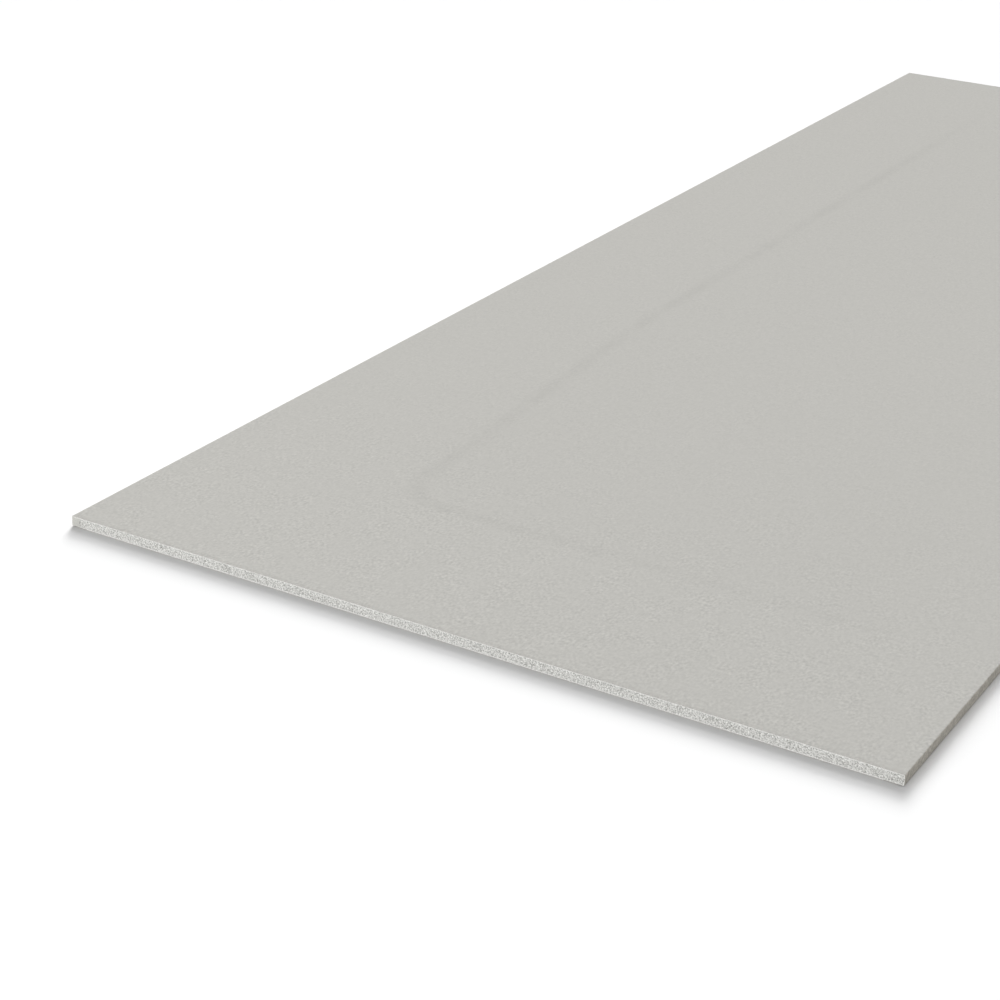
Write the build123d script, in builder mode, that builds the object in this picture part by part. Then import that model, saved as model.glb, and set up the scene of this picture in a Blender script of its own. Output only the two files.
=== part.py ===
from build123d import *

import os

# Ceiling board: a gypsum core in two sheets of paper, lying on its back with the face up.
# X runs across the width, Y along the length and Z up, from the middle of the footprint.

# Driving dimensions, in millimetres.
board_width = 1200.0  # between the two papered long edges
board_length = 3000.0  # between the two cut ends
board_thickness = 15.0  # over both papers
face_paper_thickness = 0.35
back_paper_thickness = 0.30
arris_radius = 1.5  # outside of the face paper where it is creased round a long edge
flap_width = 25.0  # face paper on the back, measured in from the long edge
back_paper_setback = 8.0  # from the long edge to the side edge of the back paper

# The face paper stands on the level of the back paper's upper side and reaches to the face.
wrap_bottom = back_paper_thickness
wrap_height = board_thickness - wrap_bottom
wrap_middle = wrap_bottom + wrap_height / 2

# The core fills the inside of the wrap, and the space between the two flaps as well.
core_width = board_width - 2 * face_paper_thickness
core_height = wrap_height - 2 * face_paper_thickness
core_arris_radius = arris_radius - face_paper_thickness
gap_between_flaps = board_width - 2 * flap_width
flap_middle = wrap_bottom + face_paper_thickness / 2

# The back paper laps over the flaps and stops short of the long edges.
back_paper_width = board_width - 2 * back_paper_setback

os.makedirs("parts", exist_ok=True)

# Gypsum core: square cut ends, softly rounded long arrises, a shallow step down between the flaps.
with BuildPart() as gypsum_core:
    with BuildSketch(Plane.XZ) as core_section:
        with Locations((0, wrap_middle)):
            RectangleRounded(core_width, core_height, core_arris_radius)
        with Locations((0, flap_middle)):
            Rectangle(gap_between_flaps, face_paper_thickness)
    extrude(amount=board_length / 2, both=True)
gypsum_core.part.label = "gypsum_core"
export_step(gypsum_core.part, "parts/gypsum_core.step")

# Face paper: one sheet over the face, round both long edges and in under the back as two flaps.
with BuildPart() as face_paper:
    with BuildSketch(Plane.XZ) as wrap_section:
        with Locations((0, wrap_middle)):
            RectangleRounded(board_width, wrap_height, arris_radius)
            RectangleRounded(core_width, core_height, core_arris_radius, mode=Mode.SUBTRACT)
        with Locations((0, flap_middle)):
            Rectangle(gap_between_flaps, face_paper_thickness, mode=Mode.SUBTRACT)
    extrude(amount=board_length / 2, both=True)
face_paper.part.label = "face_paper"
export_step(face_paper.part, "parts/face_paper.step")

# Back paper: a flat sheet glued to the core between the flaps and to the flaps themselves.
with BuildPart() as back_paper:
    with BuildSketch(Plane.XZ) as back_section:
        with Locations((0, back_paper_thickness / 2)):
            Rectangle(back_paper_width, back_paper_thickness)
    extrude(amount=board_length / 2, both=True)
back_paper.part.label = "back_paper"
export_step(back_paper.part, "parts/back_paper.step")
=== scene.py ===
import math

import bpy
from mathutils import Euler, Matrix, Vector


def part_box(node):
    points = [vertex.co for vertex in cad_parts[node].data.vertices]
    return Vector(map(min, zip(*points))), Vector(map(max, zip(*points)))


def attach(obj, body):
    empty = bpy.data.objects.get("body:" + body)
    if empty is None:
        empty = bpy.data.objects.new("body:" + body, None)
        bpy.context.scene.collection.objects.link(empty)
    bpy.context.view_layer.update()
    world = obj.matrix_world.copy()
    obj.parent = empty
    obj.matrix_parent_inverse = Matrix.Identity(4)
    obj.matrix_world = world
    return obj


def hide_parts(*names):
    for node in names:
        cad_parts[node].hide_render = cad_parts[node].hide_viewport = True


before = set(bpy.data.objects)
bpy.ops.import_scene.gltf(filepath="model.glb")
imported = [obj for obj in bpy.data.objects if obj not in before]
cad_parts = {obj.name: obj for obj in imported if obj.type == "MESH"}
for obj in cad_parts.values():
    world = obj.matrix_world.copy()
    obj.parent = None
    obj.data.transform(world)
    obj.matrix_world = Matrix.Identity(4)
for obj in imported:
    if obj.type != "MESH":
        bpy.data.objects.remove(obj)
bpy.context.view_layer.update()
mm = 0.001

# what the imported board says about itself, in metres
coreLow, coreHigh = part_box("gypsum_core")
faceLow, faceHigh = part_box("face_paper")
backLow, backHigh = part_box("back_paper")
board = {
    "width": faceHigh.x - faceLow.x,
    "length": faceHigh.y - faceLow.y,
    "facePaper": faceHigh.z - coreHigh.z,
    "backPaper": backHigh.z - backLow.z,
    "creaseRadius": 1.5 * mm,
    "flapWidth": 25 * mm,
}
print("frame loaded:", round(board["width"], 4), "by", round(board["length"], 4), "m")


class Value:
    # a number or vector that varies; arithmetic on it adds Math nodes to its tree
    def __init__(self, tree, socket):
        self.tree = tree
        self.socket = socket

    def output(self, name):
        return Value(self.tree, self.socket.node.outputs[name])

    def maths(self, operation, *others):
        return self.tree.maths(operation, self, *others)

    def __add__(self, other):
        return self.maths("ADD", other)

    def __mul__(self, other):
        return self.maths("MULTIPLY", other)

    def __sub__(self, other):
        return self.maths("SUBTRACT", other)

    def __rsub__(self, other):
        return self.tree.maths("SUBTRACT", other, self)

    def __truediv__(self, other):
        return self.maths("DIVIDE", other)

    def __rtruediv__(self, other):
        return self.tree.maths("DIVIDE", other, self)

    def __gt__(self, other):
        return self.maths("GREATER_THAN", other)

    __radd__ = __add__
    __rmul__ = __mul__

    def absolute(self):
        return self.maths("ABSOLUTE")

    def least(self, other):
        return self.maths("MINIMUM", other)

    def most(self, other):
        return self.maths("MAXIMUM", other)

    def root(self):
        return self.maths("SQRT")

    def clamp(self, low=0.0, high=1.0):
        return self.tree.add("ShaderNodeClamp", {}, {"Value": self, "Min": low, "Max": high})

    def smooth(self, low, high):
        # eases from 0 at low to 1 at high, whichever of them is the larger
        return self.tree.add("ShaderNodeMapRange", {"interpolation_type": "SMOOTHSTEP"},
                             {"Value": self, "From Min": low, "From Max": high})


class NodeTree:
    # wraps a material's or a modifier's tree, and adds every node by one method
    def __init__(self, tree):
        self.tree = tree

    def add(self, kind, settings=None, sockets=None, out=0):
        node = self.tree.nodes.new(kind)
        for name, value in (settings or {}).items():
            setattr(node, name, value)
        for name, value in (sockets or {}).items():
            if isinstance(value, Value):
                self.tree.links.new(value.socket, node.inputs[name])
            else:
                node.inputs[name].default_value = value
        return Value(self, node.outputs[out]) if node.outputs else node

    def maths(self, operation, *terms):
        return self.add("ShaderNodeMath", {"operation": operation}, dict(enumerate(terms)))

    def split(self, vector):
        parts = self.add("ShaderNodeSeparateXYZ", {}, {0: vector})
        return parts, parts.output("Y"), parts.output("Z")

    def join(self, x, y, z):
        return self.add("ShaderNodeCombineXYZ", {}, {0: x, 1: y, 2: z})

    def stretched(self, vector, factors):
        return self.add("ShaderNodeVectorMath", {"operation": "MULTIPLY"}, {0: vector, 1: factors})

    def noise(self, vector, size, detail=2.0, roughness=0.5):
        # size is about the distance from one blob to the next
        return self.add("ShaderNodeTexNoise", {"noise_dimensions": "3D"}, {
            "Vector": vector, "Scale": 1 / size, "Detail": detail, "Roughness": roughness})

    def cells(self, vector, size):
        return self.add("ShaderNodeTexVoronoi", {"voronoi_dimensions": "3D", "feature": "F1"},
                        {"Vector": vector, "Scale": 1 / size}, "Distance")

    def blendColours(self, factor, first, second, way="MIX"):
        # sockets 6 and 7 are the Mix node's two colours, and output 2 its colour result
        return self.add("ShaderNodeMix", {"data_type": "RGBA", "blend_type": way},
                        {0: factor, 6: first, 7: second}, 2)


def addObject(name, data):
    thing = bpy.data.objects.new(name, data)
    bpy.context.scene.collection.objects.link(thing)
    return thing


def newMaterial(name):
    material = bpy.data.materials.new(name)
    material.use_nodes = True
    material.node_tree.nodes.clear()
    return material, NodeTree(material.node_tree)


def newShapeTree(name, values):
    # each of the piece's values becomes a named input, whole numbers as Int
    group = bpy.data.node_groups.new(name, "GeometryNodeTree")
    group.interface.new_socket("Geometry", in_out="OUTPUT", socket_type="NodeSocketGeometry")
    for label, value in values.items():
        kind = "NodeSocketInt" if isinstance(value, int) else "NodeSocketFloat"
        group.interface.new_socket(label, in_out="INPUT", socket_type=kind)
    tree = NodeTree(group)
    entry = group.nodes.new("NodeGroupInput")
    return tree, {label: Value(tree, entry.outputs[label]) for label in values}


def finishShapeTree(tree, shape, material):
    # smooth faces, with every edge sharper than this kept crisp
    sharpest = math.radians(40)
    sharp = tree.add("GeometryNodeInputMeshEdgeAngle") > sharpest
    smooth = tree.add("GeometryNodeSetShadeSmooth", {"domain": "FACE"},
                      {"Geometry": shape, "Shade Smooth": True})
    crisp = tree.add("GeometryNodeSetShadeSmooth", {"domain": "EDGE"},
                     {"Geometry": smooth, "Selection": sharp, "Shade Smooth": False})
    solid = tree.add("GeometryNodeRealizeInstances", {}, {0: crisp})
    dressed = tree.add("GeometryNodeSetMaterial", {}, {"Geometry": solid, "Material": material})
    exitNode = tree.tree.nodes.new("NodeGroupOutput")
    tree.tree.links.new(dressed.socket, exitNode.inputs["Geometry"])
    return tree.tree


def growPiece(name, group, values):
    # runs a shape tree once and keeps its result as a plain mesh
    seedMesh = bpy.data.meshes.new(name + "Seed")
    seed = addObject(name + "Seed", seedMesh)
    modifier = seed.modifiers.new("shape", "NODES")
    modifier.node_group = group
    for item in group.interface.items_tree:
        if item.in_out == "INPUT":
            modifier[item.identifier] = values[item.name]
    depsgraph = bpy.context.evaluated_depsgraph_get()
    mesh = bpy.data.meshes.new_from_object(seed.evaluated_get(depsgraph))
    bpy.data.objects.remove(seed)
    bpy.data.meshes.remove(seedMesh)
    mesh.name = name
    print("made", name, "with", sum(len(p.vertices) - 2 for p in mesh.polygons), "triangles")
    return addObject(name, mesh)


def squared(across, up):
    return across * across + up * up


def swing(share, lowAndHigh):
    # share runs from 0 to 1, and the result between these two
    low, high = lowAndHigh
    return share * (high - low) + low


def spread(steps, first, count, size):
    # how far a point has got along a stretch that takes this many steps, from 0 to its size
    return (steps - first).clamp(0.0, count) * (size / count)


core = {
    "cell": 0.7 * mm,  # step of the mesh across the cut ends
    "skin": 4 * mm,  # the last of the length, which the relief may bend
    "seed": 3.7,
    "poreSpacing": 2.0 * mm,
    "poreDepth": 0.75 * mm,
    "poreSlope": (0.55, 0.1),  # a pore's rim and bottom, in spacings from its middle
    "poreChance": (0.35, 0.8),  # from spots with no pore to spots with a deep one
    "crumbSize": 1.5 * mm,
    "crumbDepth": 0.4 * mm,
    "crumbRange": (0.35, 0.75),
    "chipSize": 9 * mm,
    "chipDepth": 0.2 * mm,
    "chipRange": (0.45, 0.75),
    "denseRim": 1.2 * mm,  # tighter gypsum next to the papers
    "rimRelief": 0.2,  # what is left of the relief there
    "hardStrip": 13 * mm,  # dense strip down the left long edge
    "stripRelief": 0.15,
    "stripEase": (0.85, 1.1),  # in widths of the strip
    "knotAcross": 1.0 * mm,  # a void where the strip meets the rest
    "knotUp": 2.2 * mm,
    "knotDepth": 0.6 * mm,
    "knotSlope": (1.5, 0.2),
    # its finish
    "light": (0.981, 0.977, 0.946, 1.0),
    "dark": (0.360, 0.359, 0.336, 1.0),
    "rim": (0.961, 0.957, 0.926, 1.0),
    "strip": (0.601, 0.598, 0.556, 1.0),
    "grainSize": 2.0 * mm,
    "grainRange": (0.36, 0.64),
    "fineSize": 0.9 * mm,
    # painted shade: how much darker the pits are, by their depth
    "pitPaintedShade": 0.72,
    "grainShade": 0.78,
    "fineShade": 0.40,
    "lift": 0.045,  # takes a little off the shade all over
    "paintedLightBelow": 0.1,  # painted light: a little whiter towards the back paper, where less light reaches
    # the rims by the papers are whiter: denser gypsum, with a painted highlight along the top
    # arris and painted light along the dim bottom arris
    "rimFade": (1.8 * mm, 0.4 * mm),
    "rimTopDenseAndHighlight": 0.9,
    "rimBottomDenseAndPaintedLight": 0.8,
    "stripFade": 0.8 * mm,
    "stripShare": 0.8,
    "stripInRim": 0.6,  # how much of the strip's tone the rims take away
    "knotFade": (1.6, 0.3),
    # painted shade in the void beside the strip
    "knotPaintedShade": 0.6,
    "bumpStrength": 0.5,
    "bumpDepth": 0.3 * mm,
    "roughness": 0.85,
    "roughnessGrain": 0.13,
    "specular": 0.2,
}


def gypsumMaterial():
    material, tree = newMaterial("cutGypsum")
    place = tree.add("ShaderNodeTexCoord", out="Object")
    x, _, z = tree.split(place)
    fromFace, fromBack = coreHigh.z - z, z - coreLow.z

    # pits darkened by their depth as painted shade, grain and specks, whiter at the papers partly
    # as painted light, and lighter towards the back paper as painted light
    pit = tree.add("ShaderNodeAttribute", {"attribute_name": "pit"}, out="Fac")
    grain = tree.noise(place, core["grainSize"], 3.0, 0.65).smooth(*core["grainRange"])
    fine = tree.noise(place, core["fineSize"])
    # painted light, growing towards the back paper
    paintedLightBelow = fromFace * (core["paintedLightBelow"] / (coreHigh.z - coreLow.z))
    tone = pit * core["pitPaintedShade"] + grain * core["grainShade"] + (fine - 0.5) * core["fineShade"]
    tone = (tone - core["lift"] - paintedLightBelow).clamp()
    gypsum = tree.blendColours(tone, core["light"], core["dark"])
    # whiter at both papers: denser gypsum, plus a painted highlight at the top and painted light
    # at the bottom
    inRim = (fromFace.smooth(*core["rimFade"]) * core["rimTopDenseAndHighlight"]
             + fromBack.smooth(*core["rimFade"]) * core["rimBottomDenseAndPaintedLight"])
    gypsum = tree.blendColours(inRim, gypsum, core["rim"])

    # the hard strip, and the void beside it darkened as painted shade
    fromStrip = x + board["width"] / 2 - core["hardStrip"]
    inStrip = fromStrip.smooth(core["stripFade"], -core["stripFade"]) * core["stripShare"]
    inStrip = inStrip * (1 - inRim * core["stripInRim"])
    colour = tree.blendColours(inStrip, gypsum, core["strip"])
    fromMiddle = z - (coreHigh.z + coreLow.z) / 2
    knot = squared(fromStrip / core["knotAcross"], fromMiddle / core["knotUp"])
    knot = knot.smooth(*core["knotFade"]) * core["knotPaintedShade"]
    colour = tree.blendColours(knot, colour, core["dark"])

    bump = tree.add("ShaderNodeBump", {}, {
        "Strength": core["bumpStrength"], "Distance": core["bumpDepth"], "Height": fine})
    surface = tree.add("ShaderNodeBsdfPrincipled", {}, {
        "Base Color": colour, "Roughness": grain * core["roughnessGrain"] + core["roughness"],
        "Specular IOR Level": core["specular"], "Normal": bump})
    tree.add("ShaderNodeOutputMaterial", {}, {"Surface": surface})
    return material


def gypsumTree(material, values):
    tree, size = newShapeTree("gypsumShape", values)
    block = tree.add("GeometryNodeMeshCube", {}, {
        "Size": (1.0, 1.0, 1.0), "Vertices X": size["Columns"], "Vertices Y": 4,
        "Vertices Z": size["Rows"]}, "Mesh")
    u, v, w = tree.split(tree.add("GeometryNodeInputPosition"))
    side = v.maths("SIGN")
    atEnd = v.absolute() > 0.3  # the outer two of the block's four rows along the board

    # the section: rounded at the long arrises, and lower between the flaps than over them
    radius = size["Corner Radius"]
    x = u * size["Width"]
    corner = ((x.absolute() - size["Width"] / 2 + radius) / radius).clamp()
    drop = radius * (1 - (1 - corner * corner).root())
    overFlap = x.absolute() > size["Flap Gap"] / 2
    floorLevel = size["Bottom"] + size["Flap Step"] * overFlap + drop
    roofLevel = size["Top"] - drop
    z = floorLevel + (w + 0.5) * (roofLevel - floorLevel)
    plain = side * (size["Length"] / 2 - size["Skin"] * (1 - atEnd))

    # the broken surface of the two cut ends
    spot = tree.join(x, plain + size["Seed"], z)
    fromPaper = (z - size["Bottom"]).least(size["Top"] - z)
    fromSide = x + size["Width"] / 2
    pastRim = fromPaper.smooth(0.0, size["Dense Rim"])
    pastStrip = fromSide.smooth(*[size["Hard Strip"] * share for share in core["stripEase"]])
    loose = ((pastRim * (1 - core["rimRelief"]) + core["rimRelief"])
             * (pastStrip * (1 - core["stripRelief"]) + core["stripRelief"]))
    pores = tree.cells(spot, size["Pore Spacing"])
    chance = tree.split(pores.output("Color"))[0].smooth(*core["poreChance"])
    pore = pores.smooth(*core["poreSlope"]) * chance
    crumb = tree.noise(spot, size["Crumb Size"], 3.0).smooth(*core["crumbRange"])
    chip = tree.noise(spot, size["Chip Size"]).smooth(*core["chipRange"])
    relief = pore * size["Pore Depth"] + crumb * size["Crumb Depth"] + chip * size["Chip Depth"]
    deepest = size["Pore Depth"] + size["Crumb Depth"] + size["Chip Depth"]
    knotAcross = (fromSide - size["Hard Strip"]) / size["Knot Across"]
    knotUp = (z - (size["Top"] + size["Bottom"]) / 2) / size["Knot Up"]
    knot = squared(knotAcross, knotUp).smooth(*core["knotSlope"])
    depth = (relief * loose).most(knot * size["Knot Depth"]) * atEnd
    marked = tree.add("GeometryNodeStoreNamedAttribute", {"data_type": "FLOAT", "domain": "POINT"},
                      {"Geometry": block, "Name": "pit", "Value": depth / deepest})
    placed = tree.add("GeometryNodeSetPosition", {}, {
        "Geometry": marked, "Position": tree.join(x, plain - side * depth, z)})
    return finishShapeTree(tree, placed, material)


def makeCore():
    width, height = coreHigh.x - coreLow.x, coreHigh.z - coreLow.z
    values = {
        "Width": width,
        "Length": coreHigh.y - coreLow.y,
        "Top": coreHigh.z,
        "Bottom": coreLow.z,
        "Corner Radius": board["creaseRadius"] - board["facePaper"],
        "Flap Step": board["facePaper"],
        "Flap Gap": board["width"] - 2 * board["flapWidth"],
        "Columns": round(width / core["cell"]) + 1,
        "Rows": round(height / core["cell"]) + 1,
        "Skin": core["skin"],
        "Pore Spacing": core["poreSpacing"],
        "Pore Depth": core["poreDepth"],
        "Crumb Size": core["crumbSize"],
        "Crumb Depth": core["crumbDepth"],
        "Chip Size": core["chipSize"],
        "Chip Depth": core["chipDepth"],
        "Dense Rim": core["denseRim"],
        "Hard Strip": core["hardStrip"],
        "Knot Across": core["knotAcross"],
        "Knot Up": core["knotUp"],
        "Knot Depth": core["knotDepth"],
        "Seed": core["seed"],
    }
    piece = growPiece("gypsumCore", gypsumTree(gypsumMaterial(), values), values)
    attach(piece, "root")
    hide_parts("gypsum_core")
    return piece


sheet = {
    "pitch": 1.0 * mm,  # step across the sheet, fine enough to fray its cut ends
    "creaseSteps": 8,
    "sideSteps": 12,
    "flapSteps": 24,
    "lengthSteps": 2,
    "endSteps": 3,
    "endZone": 6 * mm,
    "fraySize": 2.5 * mm,
    "frayDepth": 0.35 * mm,
    "frayRange": (0.35, 0.75),
    # what the finishes of both sheets share
    "grainPatch": 34 * mm,  # the grain comes and goes over this distance
    "grainPatchRange": (0.3, 0.7),
    "grainSwing": (0.55, 1.45),
    "nearEnd": (-1.4, -0.7),  # where along the board the grain begins to fade, and has faded
    "patchSize": 120 * mm,
    "fleckStretch": 0.3,  # the smaller, the longer the fibres
    "fleckSlope": (0.09, 0.04),
    "fleckChance": (0.5, 1.0),
    "bruiseReach": (8.0 * mm, 4.5 * mm),
    "cutFacing": (0.6, 0.8),
    "fibreSize": 0.8 * mm,
    "fibreStrength": 0.4,
    "roughness": 0.88,
    "roughnessCloud": 0.2,
    "specular": 0.04,
}
facePaper = {
    "seed": 11.0,
    "tone": (0.5355, 0.5275, 0.4995, 1.0),
    "cutTone": (0.40, 0.39, 0.36, 1.0),
    "grainSize": 3.6 * mm,
    "grainShare": 0.345,
    "grainFade": 0.58,  # how much finer it is past the near end
    "cloudSize": 8 * mm,
    "cloudShare": 0.11,
    "patchShare": 0.012,
    "alongStretch": 0.7,  # fibres lie mostly along the board
    "fleckSpacing": 16 * mm,
    "fleckShare": 0.05,
    "bruiseShare": 0.045,  # greyer along the cut ends
    "fibreDepth": 0.03 * mm,
    # the long edges
    "edgeTone": (0.563, 0.536, 0.479, 1.0),
    "edgeStart": (1.0 * mm, 0.3 * mm),  # in from the side
    "rubAndHighlightShare": 0.06,  # lighter in patches along the arrises: rubbed wear and a painted highlight
    "rubAndHighlightIn": 0.7 * mm,
    "rubAndHighlightReach": (1.6 * mm, 0.2 * mm),
    "rubAndHighlightPatch": 9 * mm,
    "rubAndHighlightRange": (0.40, 0.65),
    "blotchSize": 3.4 * mm,
    "blotchRange": (0.3, 0.7),
    "blotchShare": 0.26,
}
backPaper = {
    "seed": 29.0,
    "tone": (0.47, 0.445, 0.40, 1.0),
    # lighter at its cut edge: the inner plies, and partly painted light along the dim bottom arris
    "cutTone": (0.60, 0.58, 0.54, 1.0),
    "grainSize": 3.0 * mm,
    "grainShare": 0.55,
    "grainFade": 0.0,
    "cloudSize": 14 * mm,
    "cloudShare": 0.16,
    "patchShare": 0.03,
    "alongStretch": 0.6,
    "fleckSpacing": 9 * mm,
    "fleckShare": 0.16,
    "bruiseShare": 0.03,
    "fibreDepth": 0.05 * mm,
}
faintMarkAndShade = {
    "left": -0.316,  # where its line runs along the board
    "leftBend": 0.040,  # how far it comes in towards the near end
    "bendAlong": (-0.3, -1.2),
    "front": -1.198,
    "corner": 0.075,
    "width": 21 * mm,
    "share": 0.038,
    "spotSize": 60 * mm,  # the line is stronger in places
    "spotRange": (0.38, 0.62),
    "spotSwing": (0.65, 1.35),
    "weaker": 0.45,  # towards the right
    "weakerAcross": (-0.2, 0.35),
    "insideShare": 0.006,
    "insideReach": 20 * mm,
    "rightEnd": (0.5, 0.35),
    "farEnd": (1.5, 0.6),
    "paintedShadeShare": 0.042,  # painted shade: the near right of the face a little greyer, where the light falls off
    "paintedShadeAcross": (-0.6, 0.7),
    "paintedShadeAlong": (0.0, -1.7),
}


def faceMarksAndShade(tree, x, y):
    # a soft line up the left of the face that turns in a round corner and fades along the near
    # end, and painted shade towards the near right
    mark = faintMarkAndShade
    left = y.smooth(*mark["bendAlong"]) * mark["leftBend"] + mark["left"] + mark["corner"]
    acrossIn = x - left
    alongIn = y - (mark["front"] + mark["corner"])
    outside = squared(acrossIn.least(0.0), alongIn.least(0.0)).root()
    fromLine = outside - acrossIn.least(alongIn).most(0.0) - mark["corner"]
    spots = tree.noise(tree.join(x, y, 0.0), mark["spotSize"]).smooth(*mark["spotRange"])
    line = fromLine.absolute().smooth(mark["width"], 0.0) * swing(spots, mark["spotSwing"])
    line = line * (1 - x.smooth(*mark["weakerAcross"]) * mark["weaker"]) * mark["share"]
    inside = fromLine.smooth(0.0, -mark["insideReach"]) * mark["insideShare"]
    fade = x.smooth(*mark["rightEnd"]) * y.smooth(*mark["farEnd"])
    # painted shade, darker towards the near right
    paintedShade = x.smooth(*mark["paintedShadeAcross"]) * y.smooth(*mark["paintedShadeAlong"]) * mark["paintedShadeShare"]
    return (line + inside) * fade + paintedShade


def paperMaterial(name, paper, folded):
    material, tree = newMaterial(name)
    place = tree.add("ShaderNodeTexCoord", out="Object")
    x, y, _ = tree.split(place)
    laid = tree.stretched(place, (1.0, paper["alongStretch"], 1.0))

    # pulp: patches, clouds and grain, with short fibres here and there
    patch = tree.noise(place, sheet["patchSize"]) - 0.5
    cloud = tree.noise(laid, paper["cloudSize"], 2.0, 0.6) - 0.5
    strength = tree.noise(place, sheet["grainPatch"]).smooth(*sheet["grainPatchRange"])
    strength = swing(strength, sheet["grainSwing"])
    strength = strength * (1 - y.smooth(*sheet["nearEnd"]) * paper["grainFade"])
    grain = (tree.noise(laid, paper["grainSize"], 1.0) - 0.5) * strength
    along = tree.stretched(place, (1.0, sheet["fleckStretch"], 1.0))
    fleck = tree.cells(along, paper["fleckSpacing"])
    chance = tree.split(fleck.output("Color"))[0].smooth(*sheet["fleckChance"])
    fleckDark = fleck.smooth(*sheet["fleckSlope"]) * chance
    light = 1 + patch * paper["patchShare"] + cloud * paper["cloudShare"]
    light = light + grain * paper["grainShare"] - fleckDark * paper["fleckShare"]

    plain = paper["tone"]
    if folded:
        # the face's faint marks and painted shade, then the long edges: rubbed arrises with a
        # painted highlight and a warmer, blotchier side
        light = light - faceMarksAndShade(tree, x, y)
        fromSide = board["width"] / 2 - x.absolute()
        onEdge = fromSide.smooth(*paper["edgeStart"])
        arris = (fromSide - paper["rubAndHighlightIn"]).absolute().smooth(*paper["rubAndHighlightReach"])
        rubAndHighlight = arris * tree.noise(laid, paper["rubAndHighlightPatch"], 3.0, 0.6).smooth(*paper["rubAndHighlightRange"])
        blotch = tree.noise(place, paper["blotchSize"], 2.0, 0.6).smooth(*paper["blotchRange"])
        # rubbed wear and painted highlight along the arrises
        light = light + rubAndHighlight * paper["rubAndHighlightShare"]
        light = light + onEdge * (blotch - 0.5) * paper["blotchShare"]
        plain = tree.blendColours(onEdge, plain, paper["edgeTone"])

    # bruised a little by the saw along the cut ends, where the sheet shows its inner plies, which
    # on the back sheet are lighter partly as painted light
    fromCut = board["length"] / 2 - y.absolute()
    light = light - fromCut.smooth(*sheet["bruiseReach"]) * paper["bruiseShare"]
    facing = tree.split(tree.add("ShaderNodeNewGeometry", out="True Normal"))[1].absolute()
    plain = tree.blendColours(facing.smooth(*sheet["cutFacing"]), plain, paper["cutTone"])

    colour = tree.blendColours(1.0, plain, tree.join(light, light, light), "MULTIPLY")
    fibre = tree.noise(laid, sheet["fibreSize"], 3.0, 0.6)
    bump = tree.add("ShaderNodeBump", {}, {
        "Strength": sheet["fibreStrength"], "Distance": paper["fibreDepth"], "Height": fibre})
    surface = tree.add("ShaderNodeBsdfPrincipled", {}, {
        "Base Color": colour, "Roughness": cloud * sheet["roughnessCloud"] + sheet["roughness"],
        "Specular IOR Level": sheet["specular"], "Normal": bump})
    tree.add("ShaderNodeOutputMaterial", {}, {"Surface": surface})
    return material


def sheetTree(name, material, values, folded):
    # one sheet of paper; a folded one goes round both long edges and in under the back
    tree, size = newShapeTree(name, values)
    creases, sides, flaps = sheet["creaseSteps"], sheet["sideSteps"], sheet["flapSteps"]
    lengthSteps, endSteps = sheet["lengthSteps"], sheet["endSteps"]
    faceSteps = size["Face Steps"]
    halfSteps = faceSteps + (2 * creases + sides + flaps if folded else 0)
    halfLengthSteps = lengthSteps + endSteps

    flat = tree.add("GeometryNodeMeshCube", {}, {
        "Size": tree.join(halfSteps * 2, 2.0 * halfLengthSteps, 1.0),
        "Vertices X": halfSteps * 2 + 1, "Vertices Y": 2 * halfLengthSteps + 1,
        "Vertices Z": 2}, "Mesh")
    u, v, w = tree.split(tree.add("GeometryNodeInputPosition"))
    inward = (0.5 - w) * size["Thickness"]
    if folded:
        across = u.absolute()
        radius = size["Crease Radius"]
        flatWidth = size["Width"] / 2 - radius
        upright = size["Top"] - size["Bottom"] - radius * 2
        quarter = math.pi / 2
        firstTurn = spread(across, faceSteps, creases, quarter)
        down = spread(across, faceSteps + creases, sides, upright)
        secondTurn = spread(across, faceSteps + creases + sides, creases, quarter)
        under = spread(across, faceSteps + 2 * creases + sides, flaps, size["Flap"] - radius)
        turn = firstTurn + secondTurn
        outX = (spread(across, 0.0, faceSteps, flatWidth) + radius * firstTurn.maths("SINE")
                - radius * (1 - secondTurn.maths("COSINE")) - under)
        outZ = (size["Top"] - radius * (1 - firstTurn.maths("COSINE")) - down
                - radius * secondTurn.maths("SINE"))
        x = (outX - inward * turn.maths("SINE")) * u.maths("SIGN")
        z = outZ - inward * turn.maths("COSINE")
    else:
        x = u * (size["Width"] / 2 / faceSteps)
        z = size["Top"] - inward

    # the cut ends are frayed a little
    along = v.absolute()
    plain = (spread(along, 0.0, lengthSteps, size["Length"] / 2 - size["End Zone"])
             + spread(along, lengthSteps, endSteps, size["End Zone"]))
    atEnd = along > halfLengthSteps - 0.5
    spot = tree.join(x, v + size["Seed"], z)
    fray = tree.noise(spot, size["Fray Size"], 3.0, 0.6).smooth(*sheet["frayRange"])
    fray = fray * size["Fray Depth"] * atEnd
    placed = tree.add("GeometryNodeSetPosition", {}, {
        "Geometry": flat, "Position": tree.join(x, v.maths("SIGN") * (plain - fray), z)})
    return finishShapeTree(tree, placed, material)


def sheetValues(paper, width, top, thickness, flatHalf):
    # what the shapes of both sheets are given
    return {
        "Width": width,
        "Length": board["length"],
        "Top": top,
        "Thickness": thickness,
        "Face Steps": round(flatHalf / sheet["pitch"]),
        "End Zone": sheet["endZone"],
        "Fray Size": sheet["fraySize"],
        "Fray Depth": sheet["frayDepth"],
        "Seed": paper["seed"],
    }


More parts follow.
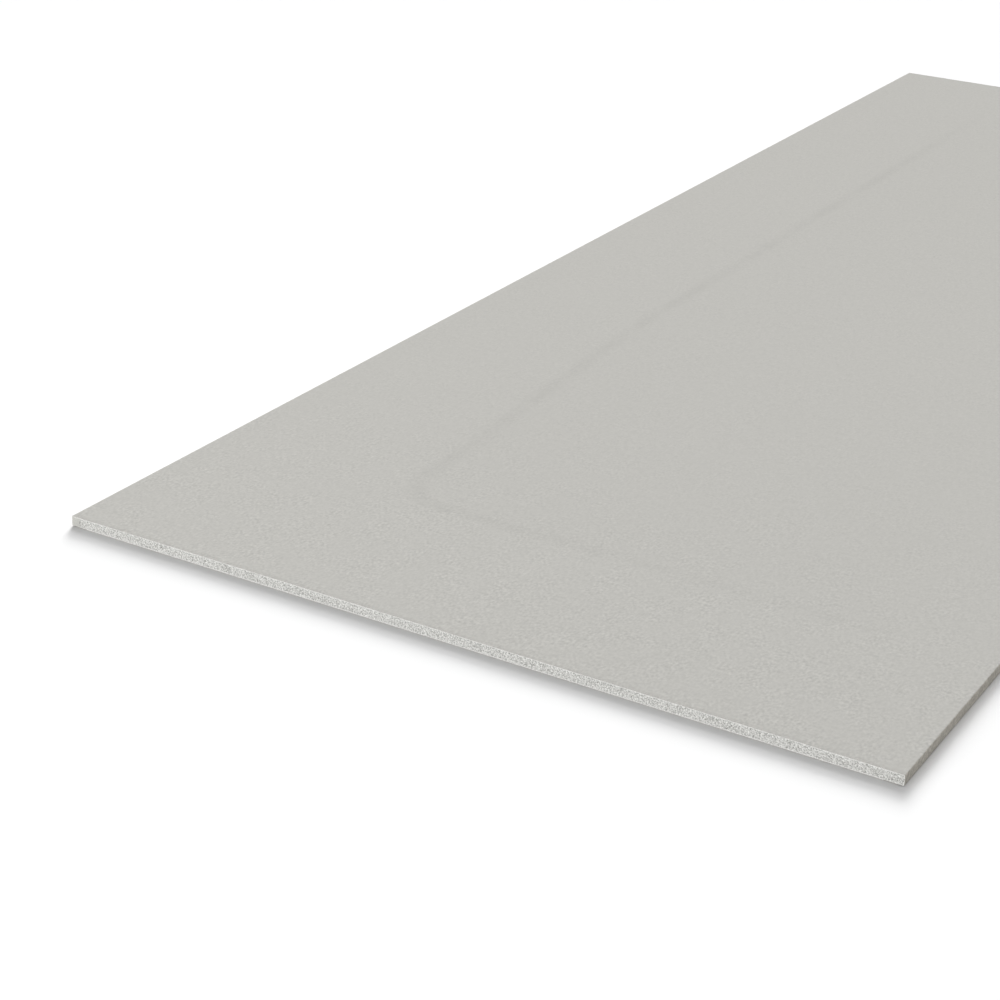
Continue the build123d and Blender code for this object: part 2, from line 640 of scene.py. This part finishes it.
def makeFacePaper():
    width, radius = board["width"], board["creaseRadius"]
    values = sheetValues(facePaper, width, faceHigh.z, board["facePaper"], width / 2 - radius)
    values.update({"Bottom": faceLow.z, "Crease Radius": radius, "Flap": board["flapWidth"]})
    material = paperMaterial("facePaper", facePaper, True)
    piece = growPiece("faceSheet", sheetTree("foldedSheet", material, values, True), values)
    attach(piece, "root")
    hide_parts("face_paper")
    return piece


def makeBackPaper():
    width = backHigh.x - backLow.x
    values = sheetValues(backPaper, width, backHigh.z, board["backPaper"], width / 2)
    material = paperMaterial("backPaper", backPaper, False)
    piece = growPiece("backSheet", sheetTree("flatSheet", material, values, False), values)
    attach(piece, "root")
    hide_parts("back_paper")
    return piece


pieces = [makeCore(), makeFacePaper(), makeBackPaper()]

studio = {
    "floorSize": 80.0,
    "floorDrop": 0.2 * mm,
    "floorBounce": 0.725,
    "floorSeen": 0.95,  # the same floor to the camera, at full white where lit
    "sky": 0.26,
    "keyStrength": 2.17,
    "keyHeight": 55.0,  # degrees above the floor
    "keyFrom": 80.0,  # degrees round from the front, towards the left
    "keySoftness": 30.0,
    "lowStrength": 3.27,  # two lights on the floor alone, for the board's soft shadow
    "lowHeight": 18.0,
    "lowFrom": 155.0,
    "lowSoftness": 24.0,
    "midStrength": 1.89,
    "midHeight": 33.0,
    "midFrom": 155.0,
    "midSoftness": 40.0,
    "backStrength": 0.58,
    "backHeight": 55.0,
    "backFrom": -135.0,
    "backSoftness": 45.0,
    "fillPower": 128.0,
    "fillPlace": (-1.7, -6.9, 0.45),
    "fillAim": (-0.2, -1.5, 0.0),
    "fillSize": (2.4, 0.8),
}


def makeSun(name, side, lit=()):
    # side names its values in studio
    lamp = bpy.data.lights.new(name, "SUN")
    lamp.energy = studio[side + "Strength"]
    lamp.angle = math.radians(studio[side + "Softness"])
    sun = addObject(name, lamp)
    height, heading = 90 - studio[side + "Height"], -studio[side + "From"]
    sun.rotation_euler = Euler((math.radians(height), 0, math.radians(heading)))
    if lit:
        # lights these alone, though everything still stands in its way
        sun.light_linking.receiver_collection = bpy.data.collections.new(name + "On")
        for thing in lit:
            sun.light_linking.receiver_collection.objects.link(thing)


def makeSoftbox(name, side):
    lamp = bpy.data.lights.new(name, "AREA")
    lamp.shape = "RECTANGLE"
    lamp.size, lamp.size_y = studio[side + "Size"]
    lamp.energy = studio[side + "Power"]
    softbox = addObject(name, lamp)
    place, aim = Vector(studio[side + "Place"]), Vector(studio[side + "Aim"])
    softbox.location = place
    softbox.rotation_euler = (aim - place).to_track_quat("-Z", "Y").to_euler()
    softbox.visible_camera = False


def makeFloor():
    half = studio["floorSize"] / 2
    mesh = bpy.data.meshes.new("floor")
    corners = [(-half, -half), (half, -half), (half, half), (-half, half)]
    mesh.from_pydata([(x, y, -studio["floorDrop"]) for x, y in corners], [], [(0, 1, 2, 3)])
    floor = addObject("floor", mesh)
    material, tree = newMaterial("floorWhite")
    seen = tree.add("ShaderNodeLightPath", out="Is Camera Ray")
    white = swing(seen, (studio["floorBounce"], studio["floorSeen"]))
    surface = tree.add("ShaderNodeBsdfDiffuse", {}, {"Color": tree.join(white, white, white)})
    tree.add("ShaderNodeOutputMaterial", {}, {"Surface": surface})
    mesh.materials.append(material)
    return floor


def makeSky():
    # plain white to the camera and in what is seen by gloss, and dim as a light
    world = bpy.data.worlds.new("studioSky")
    bpy.context.scene.world = world
    world.use_nodes = True
    world.node_tree.nodes.clear()
    tree = NodeTree(world.node_tree)
    path = tree.add("ShaderNodeLightPath", out="Is Camera Ray")
    seen = (path + path.output("Is Glossy Ray") + path.output("Is Transmission Ray")).clamp()
    sky = tree.add("ShaderNodeBackground", {}, {
        "Color": (1, 1, 1, 1), "Strength": swing(seen, (studio["sky"], 1))})
    tree.add("ShaderNodeOutputWorld", {}, {"Surface": sky})


floor = makeFloor()
makeSky()
makeSun("keyLight", "key", pieces)
makeSun("lowLight", "low", [floor])
makeSun("midLight", "mid", [floor])
makeSun("backLight", "back")
makeSoftbox("fillLight", "fill")
print("studio lit")

viewpoint = {
    "place": (1.2939, -3.5639, 1.3204),
    "heading": 30.647,  # degrees, turned left from looking straight down the board
    "dip": 24.793,
    "roll": 1.449,
    "lens": 80.94,
    "sensor": 36,
    "nearest": 0.05,
    "furthest": 200,
}


def makeCamera():
    cameraData = bpy.data.cameras.new("camera")
    cameraData.lens = viewpoint["lens"]
    cameraData.sensor_width = viewpoint["sensor"]
    cameraData.clip_start = viewpoint["nearest"]
    cameraData.clip_end = viewpoint["furthest"]
    camera = addObject("camera", cameraData)
    dip, heading, roll = (math.radians(viewpoint[turn]) for turn in ("dip", "heading", "roll"))
    aim = Euler((math.pi / 2 - dip, 0, heading)).to_matrix()
    camera.rotation_euler = (aim @ Matrix.Rotation(roll, 3, "Z")).to_euler()
    camera.location = viewpoint["place"]
    bpy.context.scene.camera = camera


makeCamera()
bpy.context.scene.view_settings.view_transform = "Standard"
print("camera set")
